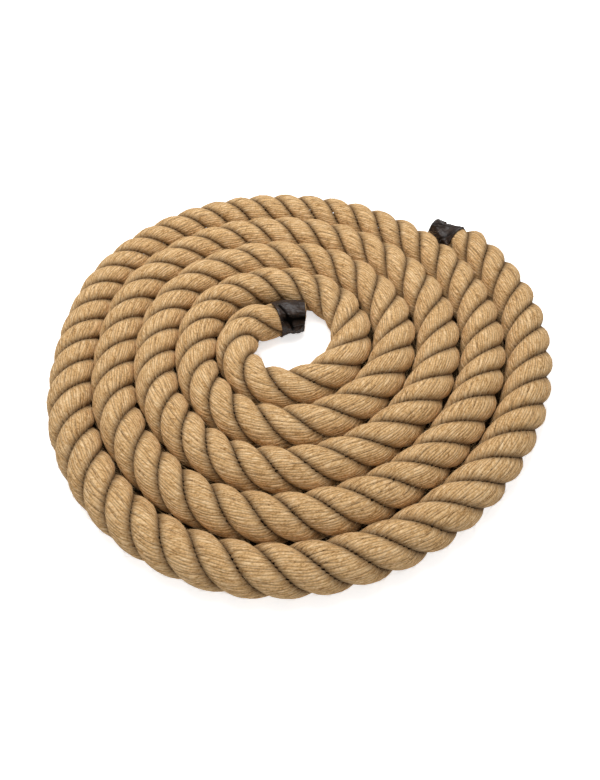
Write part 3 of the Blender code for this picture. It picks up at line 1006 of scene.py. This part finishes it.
@dataclass
class EndTape:
    """Tape wound tight round one cut end, over the strands and their grooves, with creases and folds."""

    rope: LaidRope
    end: RopeEnd
    pleats: tuple[Pleat, ...]
    seed: int
    cut_slant: Slant = Slant()
    back_slant: Slant = Slant()
    wall: float = 0.5 * MM
    clearance: float = 0.45 * MM
    proud: float = 0.6 * MM
    crumple: float = 0.45 * MM
    waves: tuple[tuple[float, float], ...] = ((11.0, 1.0), (7.5, 0.8), (5.0, 0.55), (3.2, 0.35), (2.1, 0.22))
    wave_bend: float = 1.3
    wave_mean: float = 0.27
    layer: float = 0.22 * MM
    layer_edge: float = 0.02
    first_lap: Slant = Slant(0.30, 0.10, 90)
    last_lap: Slant = Slant(0.74, 0.08, 50)
    rim_share: float = 0.06
    rim_crumple: float = 0.35
    rim_roll: float = 0.4
    steep_share: float = 0.3
    recess_share: float = 0.8
    deep_fold: float = 1.6 * MM
    recess_depth: float = 0.7 * MM
    turn_gap: float = 0.05 * MM
    least_cosine: float = 0.2
    points_per_section: int = 160
    rings: int = 64
    around: int = 240

    @property
    def name(self) -> str:
        """The tape's name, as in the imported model."""
        return f"{self.end.value}_end_tape"

    def hull(self, along: float, angles: Array) -> Array:
        """Radius of a band stretched over all strands.

        The band's support at a direction is the greatest reach of any strand's point along it. The radius at an
        angle is the least support divided by the cosine of the angle to its direction.

        Args:
            along: the length from the inner end.
            angles: angles round the rope's middle.

        Returns:
            The radius at each angle.
        """
        spot = np.array([along])
        yarn = np.linspace(0, self.rope.yarns, self.points_per_section)
        place, _, normal = self.rope.route.at(spot)
        points = np.concatenate([self.rope.surface(number, spot, yarn)["points"] for number in range(STRANDS)])
        points = points - place[0] - self.rope.height(spot)[0] * UP
        reach = np.stack([points @ normal[0], -points @ UP], axis=1)
        support = np.max(reach @ np.stack([np.cos(angles), np.sin(angles)]), axis=0)
        slant = np.cos(angles[:, None] - angles[None, :])
        held = support[None, :] / np.maximum(slant, self.least_cosine)
        return np.min(np.where(slant > self.least_cosine, held, np.inf), axis=1)

    def creases(self, rng: Rng, spot: Array) -> Array:
        """Sharp creases in all directions: one less the size of a sine along random lines, bent by a slow sine.

        Args:
            rng: the source of the lines.
            spot: points on the tape.

        Returns:
            The creases' height, about 0.
        """
        total = np.zeros(spot.shape[:-1])
        for wave, size in np.repeat(self.waves, 2, axis=0):
            line = rng.standard_normal(3)
            line /= np.linalg.norm(line)
            bend = rng.standard_normal(3) / (wave * MM)
            phase = spot @ line * TURN / (wave * MM) + self.wave_bend * np.sin(spot @ bend + rng.random() * TURN)
            total += size * ((1 - np.abs(np.sin(phase / 2 + rng.random() * TURN))) ** 2 - self.wave_mean)
        return total

    def folds(self, share: Array, angle: Array) -> tuple[Array, Array]:
        """The pleats, steep on one side and drawn out on the other, each a bell by distance from its line.

        The recess under the steep side is a second bell, a width off.

        Args:
            share: shares of the tape's width.
            angle: angles round the rope.

        Returns:
            The pleats' height, and the shade in the recess.
        """
        total, recess_shade = np.zeros(share.shape), np.zeros(share.shape)
        width, radius = self.rope.tape_width, self.rope.radius
        for pleat in self.pleats:
            ends = (pleat.start, pleat.end)
            first, last = (np.array([place * width, math.radians(turned) * radius]) for place, turned in ends)
            line = last - first
            long = float(np.linalg.norm(line))
            for turns in (-1, 0, 1):
                dx, dy = share * width - first[0], angle * radius - first[1] + turns * TURN * radius
                travelled, aside = (dx * line[0] + dy * line[1]) / long, (dx * line[1] - dy * line[0]) / long
                past = np.maximum(np.maximum(-travelled, travelled - long), 0.0)
                fading = np.exp(-((past / pleat.width) ** 2))
                reach = np.where(aside > 0, 1.0, self.steep_share) * pleat.width
                total += pleat.height * np.exp(-((aside / reach) ** 2)) * fading
                # The recess under the steep side dents the wall and is painted as shade in the tape's colour.
                bell = np.exp(-(((aside + pleat.width) / (self.recess_share * pleat.width)) ** 2))
                recess_shade += min(pleat.height / self.deep_fold, 1.0) * bell * fading * (aside < 0)
        return total, np.minimum(recess_shade, 1.0)

    def wall_reach(self, hull: Array, spot: Array, share: Array, angle: Array) -> tuple[Array, Array]:
        """How far out the outer wall lies: the hull and the wall, with laps, creases and folds.

        Args:
            hull: the inner wall's radius.
            spot: its points.
            share: shares of the tape's width.
            angle: angles round the rope.

        Returns:
            The outer wall's radius, and the shade in the folds' recesses.
        """
        edge = ease(share / self.rim_share) * ease((1 - share) / self.rim_share)
        laps = ease((share - self.first_lap.at(angle)) / self.layer_edge)
        laps = self.layer * (laps + ease((self.last_lap.at(angle) - share) / self.layer_edge))
        smooth = self.rim_crumple + (1 - self.rim_crumple) * edge
        creased = self.crumple * self.creases(np.random.default_rng(self.seed), spot) * smooth
        folded, recess_shade = self.folds(share, angle)
        bumps = np.maximum(creased + folded - self.recess_depth * recess_shade, -0.5 * self.wall)
        return hull + self.wall + laps + bumps, recess_shade

    def build(self, material: Material) -> Piece:
        """Builds the tape as a closed sleeve: an outer wall, a rolled rim at each edge and an inner wall.

        Args:
            material: the tape's material.

        Returns:
            The piece.
        """
        way = 1 if self.end is RopeEnd.INNER else -1
        cut = self.proud if self.end is RopeEnd.INNER else self.rope.route.length - self.proud
        share = np.linspace(0.0, 1.0, self.rings)[:, None]
        angles = np.linspace(0.0, TURN, self.around, endpoint=False)
        along = cut + way * share[:, 0] * self.rope.tape_width
        place, tangent, normal = (part[:, None, :] for part in self.rope.route.at(along))
        middle = place + self.rope.height(along)[:, None, None] * UP
        aim = np.cos(angles)[:, None] * normal - np.sin(angles)[:, None] * UP
        hull = np.array([self.hull(spot, angles) for spot in along]) + self.clearance
        share_grid, angle_grid = np.broadcast_arrays(share, angles)
        outer, recess_shade = self.wall_reach(hull, middle + hull[..., None] * aim, share_grid, angle_grid)
        rim = 0.5 * (outer + hull)
        walls = np.concatenate([outer, rim[-1:], hull[::-1], rim[:1]])
        order = np.concatenate([np.arange(self.rings), [self.rings - 1], np.arange(self.rings)[::-1], [0]])
        points = middle[order] + walls[..., None] * aim[order]
        points[self.rings] += way * self.rim_roll * self.wall * tangent[-1]
        points[-1] -= way * self.rim_roll * self.wall * tangent[0]
        slant = way * ((1 - share) * self.cut_slant.at(angles) + share * self.back_slant.at(angles))
        points += slant[order][..., None] * tangent[order]
        points[..., 2] = np.maximum(points[..., 2], self.rope.floor_clearance)
        outwards, inwards = (room[:, None] - self.turn_gap for room in self.rope.route.room(along[order]))
        side = np.sum((points - middle[order]) * normal[order], axis=-1)
        points += (np.clip(side, -inwards, outwards) - side)[..., None] * normal[order]
        faces = tube_faces(len(order) + 1, self.around) % walls.size
        mesh = make_mesh(self.name, points, faces[:, ::way])
        write_attribute(mesh, "recess_shade", recess_shade[order])
        piece = show(self.name, mesh, material)
        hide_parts(self.name)
        return piece


@dataclass
class FibreFuzz:
    """Fine fibres that have worked loose: short thin hairs, three-sided and tapering.

    A real fibre is 0.02 to 0.06 mm thick. The hairs are drawn at 0.15 mm, so that they show.
    """

    rope: LaidRope
    name: str
    count: int
    seed: int
    low_length: float = 4.0 * MM
    high_length: float = 14.0 * MM
    thickness: float = 0.15 * MM
    widths: tuple[float, float] = (0.6, 1.3)
    tones: tuple[float, float] = (0.35, 1.0)
    taper: float = 0.75
    lift: float = 0.16
    lift_shape: float = 1.3
    most_lift: float = 3.2
    turned_aside: float = 0.45
    curl: float = 0.35
    ceiling: float = 42.0 * MM
    droop: float = 3.0 * MM
    floor_gap: float = 0.2 * MM
    bare_end: float = 30.0 * MM
    deepest: float = 0.35
    lowest: float = 3.0 * MM
    probe: float = 0.5 * MM
    least_out: float = 0.2 * MM
    ahead: float = 1.5 * MM
    steps: int = 4

    def roots(self, rng: Rng) -> tuple[Array, Array, Array]:
        """Where hairs start: at random spots of the strands' outer faces that face up or aside.

        Args:
            rng: the source of the spots.

        Returns:
            The starts, which way their yarn runs, and the way out, both of length 1.
        """
        parts = []
        for number in range(STRANDS):
            along = rng.uniform(self.bare_end, self.rope.route.length - self.bare_end, self.count)
            yarn = rng.uniform(0, self.rope.yarns, self.count)
            here = self.rope.surface(number, along, yarn)
            start = here["points"]
            way = self.rope.surface(number, along + self.ahead, yarn)["points"] - start
            out = self.rope.surface(number, along, yarn, proud=self.probe)["points"] - start
            shown = (here["depth"] < self.deepest) & (start[:, 2] > self.lowest) & (out[:, 2] > -self.least_out)
            shown &= np.linalg.norm(out, axis=1) > self.least_out
            parts.append(np.stack([start, way, out])[:, shown])
        start, way, out = np.concatenate(parts, axis=1)
        return start, way / np.linalg.norm(way, axis=1)[:, None], out / np.linalg.norm(out, axis=1)[:, None]

    def build(self, material: Material) -> Piece:
        """Builds the hairs, a small triangle swept along each hair's curve.

        A hair runs along its yarn, turned a little aside, lifts and curls by the square of its length, droops
        under a ceiling and stays above the floor.

        Args:
            material: the fibres' material.

        Returns:
            The piece.
        """
        rng = np.random.default_rng(self.seed)
        start, way, out = self.roots(rng)
        count = len(start)
        aside = np.cross(way, out)
        turned = rng.normal(0, self.turned_aside, count)[:, None]
        backwards = np.where(rng.random(count) < 0.5, -1.0, 1.0)[:, None]
        heading = backwards * (np.cos(turned) * way + np.sin(turned) * aside)
        length = rng.uniform(self.low_length, self.high_length, count) * rng.random(count) ** 0.5
        lift = self.lift * np.minimum(rng.gamma(self.lift_shape, 1.0, count), self.most_lift)
        curl = rng.normal(0, self.curl, count)
        travelled = np.linspace(0, 1, self.steps + 1)
        along = length[:, None] * travelled
        line = start[:, None, :] + along[..., None] * heading[:, None, :]
        line += (lift[:, None] * along * travelled)[..., None] * out[:, None, :]
        line += (curl[:, None] * along * travelled**2)[..., None] * aside[:, None, :]
        line[..., 2] = pressed(np.maximum(line[..., 2], self.floor_gap), self.ceiling, self.droop)
        width = self.thickness / 2 * rng.uniform(*self.widths, count)[:, None] * (1 - self.taper * travelled)
        corner = np.arange(3)[:, None] * TURN / 3
        ring = np.cos(corner) * out[:, None, None, :] + np.sin(corner) * aside[:, None, None, :]
        points = line[:, :, None, :] + width[:, :, None, None] * ring
        mesh = make_mesh(self.name, points, tube_faces(self.steps + 1, 3, count))
        write_attribute(mesh, "tone", np.repeat(rng.uniform(*self.tones, count), (self.steps + 1) * 3))
        return show(self.name, mesh, material)


@dataclass
class Studio:
    """A plain white floor, soft light and a camera at the photograph's angle."""

    route: CoilRoute
    aim: tuple[float, float] = (13.33 * MM, -41.91 * MM)
    distance: float = 480.15 * MM
    elevation: float = math.radians(55.70)
    roll: float = math.radians(-3.218)
    lens: float = 32.72
    sensor: float = 36.0
    nearest: float = 10.0 * MM
    world_light: float = 0.48
    key_light: float = 3.4
    lamp_size: float = 540.0 * MM
    lamp_place: tuple[float, float, float] = (-50.0 * MM, 170.0 * MM, 630.0 * MM)
    floor_reach: float = 4.0
    floor_corners: int = 240

    def add_camera(self) -> None:
        """Adds the camera: it looks at its aim from the front, down by the elevation, and is rolled a little."""
        centre = self.route.table[3]
        ahead = Vector((0, math.cos(self.elevation), -math.sin(self.elevation)))
        above = Vector((0, math.sin(self.elevation), math.cos(self.elevation)))
        right = Vector((1, 0, 0))
        place = Vector((self.aim[0] - centre[0], self.aim[1] - centre[1], 0)) - self.distance * ahead
        turned_right = math.cos(self.roll) * right + math.sin(self.roll) * above
        turned_up = -math.sin(self.roll) * right + math.cos(self.roll) * above
        data = bpy.data.cameras.new("camera")
        data.sensor_fit = "HORIZONTAL"
        data.sensor_width, data.lens, data.clip_start = self.sensor, self.lens, self.nearest
        camera = add_object("camera", data)
        turned = Matrix((turned_right, turned_up, -ahead)).transposed().to_4x4()
        camera.matrix_world = Matrix.Translation(place) @ turned
        bpy.context.scene.camera = camera

    def add_floor(self) -> None:
        """Adds the floor at z = 0: white paper in the coil's eye and all round it, and dark brown painted shade under
        the turns.

        The painted shade lies from the first turn's middle line to the last one's, so the gaps between turns look
        dark.
        """
        places = self.route.at(np.linspace(0, self.route.length, 5 * self.floor_corners))[0]
        around, reach = np.unwrap(np.arctan2(places[:, 1], places[:, 0])), np.hypot(places[:, 0], places[:, 1])
        first, last = around[0], around[-1] - TURN
        bearing = np.linspace(first, first + TURN, self.floor_corners, endpoint=False)
        inner = np.interp(bearing, around, reach)
        outer = np.interp(last + (bearing - last) % TURN, around, reach)
        rings = np.stack([0 * bearing, inner, outer, 0 * bearing + self.floor_reach])
        points = np.stack([rings * np.cos(bearing), rings * np.sin(bearing), 0 * rings], axis=-1)
        mesh = make_mesh("floor", points, tube_faces(4, len(bearing))[:, ::-1], Shading.FACETED)
        mesh.materials.append(StudioPaper().build())
        # A dark brown paper without glow under the turns: painted shade, so the gaps between turns look dark.
        mesh.materials.append(StudioPaper("painted_shade_under_turns", "#54432D", 0.0).build())
        mesh.polygons.foreach_set("material_index", np.repeat([0, 1, 0], len(bearing)).astype(np.int32))
        add_object("floor", mesh)

    def add_light(self) -> None:
        """Adds light from all round, seen as full white, and a large soft lamp above, behind and to the left."""
        world = bpy.data.worlds.new("white_room")
        bpy.context.scene.world = world
        world.use_nodes = True
        tree = world.node_tree
        seen = add_node(tree, "LightPath", output="Is Camera Ray")
        strength = add_node(tree, "MapRange", {"Value": seen, "To Min": self.world_light})
        fill(tree.nodes["Background"], {"Color": (1, 1, 1, 1), "Strength": strength})
        lamp = bpy.data.lights.new("softbox", "AREA")
        lamp.shape = "DISK"
        lamp.size, lamp.energy = self.lamp_size, self.key_light
        place = Vector(self.lamp_place)
        turned = place.to_track_quat("Z", "Y").to_matrix().to_4x4()
        add_object("softbox", lamp).matrix_world = Matrix.Translation(place) @ turned

    def build(self) -> None:
        """Sets the view up and adds camera, floor and light."""
        bpy.context.scene.view_settings.view_transform = "Standard"
        self.add_camera()
        self.add_floor()
        self.add_light()


@dataclass
class CoiledRope:
    """The whole rope: strands, tapes and loose fibres."""

    route: CoilRoute = field(default_factory=CoilRoute)
    path_step: float = 6.0 * MM
    diameter: float = 36.0 * MM
    fuzz_pieces: int = 3
    hairs: int = 4800
    tape_seeds: tuple[int, int] = (5, 9)
    fuzz_seed: int = 21
    inner_pleats: tuple[Pleat, ...] = (
        Pleat((0.80, 238), (-0.1, 231), 2.5 * MM, 5.0 * MM),
        Pleat((0.66, 185), (0.93, 282), 1.9 * MM, 2.6 * MM),
        Pleat((0.5, 200), (0.0, 190), 0.8 * MM, 2.0 * MM),
        Pleat((0.1, 300), (0.6, 310), 0.6 * MM, 1.6 * MM),
    )
    outer_pleats: tuple[Pleat, ...] = (
        Pleat((0.1, 240), (0.9, 300), 1.2 * MM, 2.4 * MM),
        Pleat((0.6, 190), (0.95, 250), 0.9 * MM, 2.0 * MM),
        Pleat((0.0, 330), (0.25, 310), 1.6 * MM, 1.6 * MM),
        Pleat((0.72, 320), (0.9, 350), 1.0 * MM, 1.4 * MM),
    )
    inner_back: Slant = Slant(-2.0 * MM, -2.0 * MM, 190)
    outer_cut: Slant = Slant(-1.8 * MM, 0.6 * MM, 60)

    def build(self) -> None:
        rope = LaidRope(self.route)
        yarn, fibre, tape = JuteYarn().build(True), JuteYarn().build(False), BindingTape().build()
        strands = [Strand(rope, number).build(yarn) for number in range(STRANDS)]
        first, last = self.tape_seeds
        tapes = [
            EndTape(rope, RopeEnd.INNER, self.inner_pleats, first, rope.inner_cut, self.inner_back).build(tape),
            EndTape(rope, RopeEnd.OUTER, self.outer_pleats, last, self.outer_cut).build(tape),
        ]
        fuzz = [
            FibreFuzz(rope, f"loose_fibres_{number + 1}", self.hairs, self.fuzz_seed + number).build(fibre)
            for number in range(self.fuzz_pieces)
        ]
        length = self.route.length
        along = np.linspace(0.0, length, int(length / self.path_step) + 1)
        path = self.route.at(along)[0] + rope.height(along)[:, None] * UP


def main() -> None:
    """Builds the studio and the rope."""
    logging.basicConfig(level=logging.INFO, format="%(message)s")
    rope = CoiledRope()
    Studio(rope.route).build()
    rope.build()
    bpy.context.view_layer.update()


if __name__ == "__main__":
    main()
